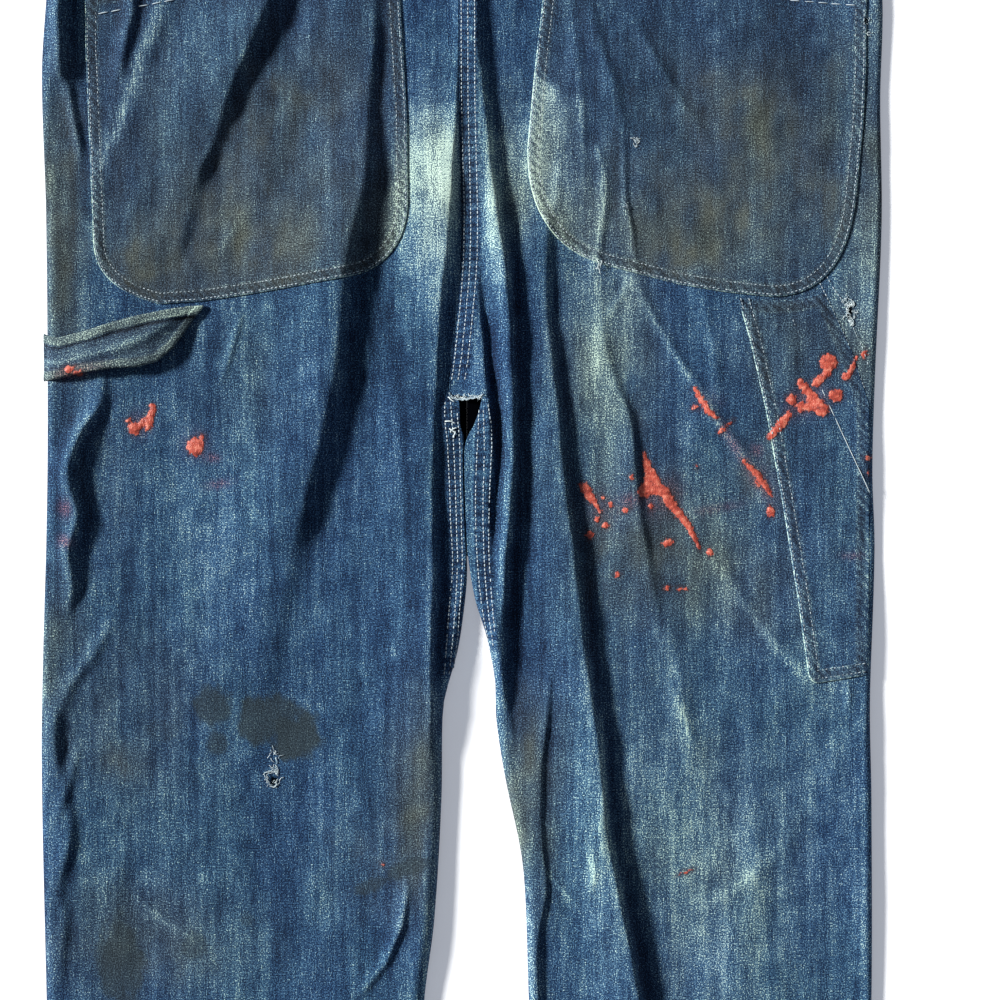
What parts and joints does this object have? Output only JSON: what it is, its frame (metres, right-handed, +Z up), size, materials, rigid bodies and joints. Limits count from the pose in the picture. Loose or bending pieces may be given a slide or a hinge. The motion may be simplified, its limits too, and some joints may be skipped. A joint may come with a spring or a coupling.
{
  "type": "worn denim bib overalls laid flat, back side up",
  "caption": "Denim bib overalls laid flat with the back up: folded leg panels, hip pockets, tool pocket, hammer loop and shoulder straps.",
  "frame": {"origin": "middle of the garment's footprint on the surface it lies on", "axes": "+Y from the hems towards the bib, +X towards the wearer's right leg, +Z up out of the surface"},
  "size_m": [0.5892, 1.523, 0.0213],
  "materials": {
    "denim_back": "worn indigo twill",
    "denim_front": "indigo twill",
    "denim_pocket": "soiled indigo twill",
    "denim_trim": "faded indigo twill, olive cast",
    "hardware": "dull worn metal"
  },
  "bodies": {
    "root": {"front_left": "denim_front", "front_right": "denim_front", "bib": "denim_front", "back_left": "denim_back", "back_right": "denim_back", "hip_pocket_left": "denim_pocket", "hip_pocket_right": "denim_pocket", "rule_pocket": "denim_pocket", "hammer_loop": "denim_trim", "strap_left": "denim_trim", "strap_right": "denim_trim", "buckle_left": "hardware", "buckle_right": "hardware", "bib_button_left": "hardware", "bib_button_right": "hardware"}
  },
  "joints": []
}
